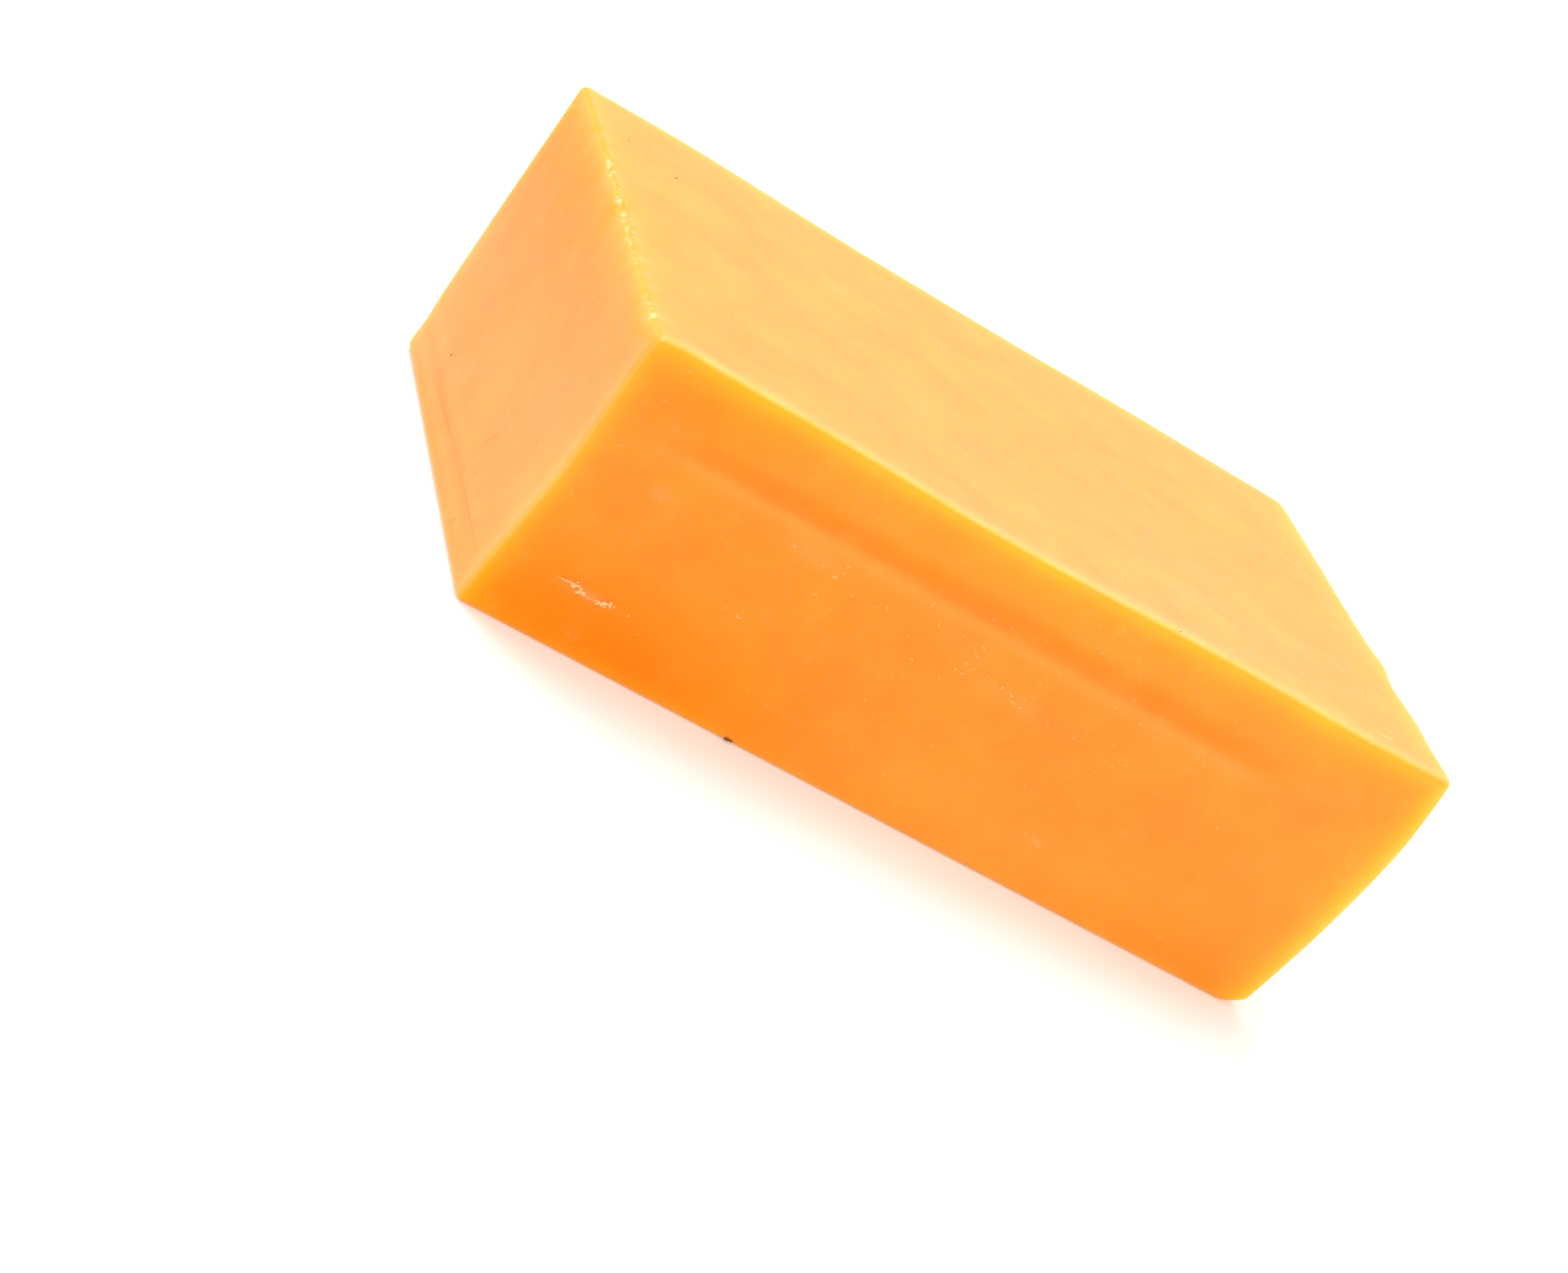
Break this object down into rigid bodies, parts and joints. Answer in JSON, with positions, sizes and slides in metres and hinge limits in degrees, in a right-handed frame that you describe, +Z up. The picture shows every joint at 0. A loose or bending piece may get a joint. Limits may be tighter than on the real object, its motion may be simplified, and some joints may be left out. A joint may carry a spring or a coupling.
{
  "type": "red leicester cheese block",
  "caption": "Firm orange cheese block, cut rectangular with one long side leaning out, lightly creased faces and one crumbled top edge.",
  "frame": {"origin": "under the middle of the block's box, on the flat bottom face", "axes": "+X along the length towards the end with the flattened corner, -Y towards the side that leans out, +Z up through the thickness"},
  "size_m": [0.1014, 0.069, 0.0363],
  "materials": {
    "orange_cheese": "smooth wire-cut firm cheese, waxy and slightly translucent"
  },
  "bodies": {
    "root": {"cheese_block": "orange_cheese"}
  },
  "joints": []
}
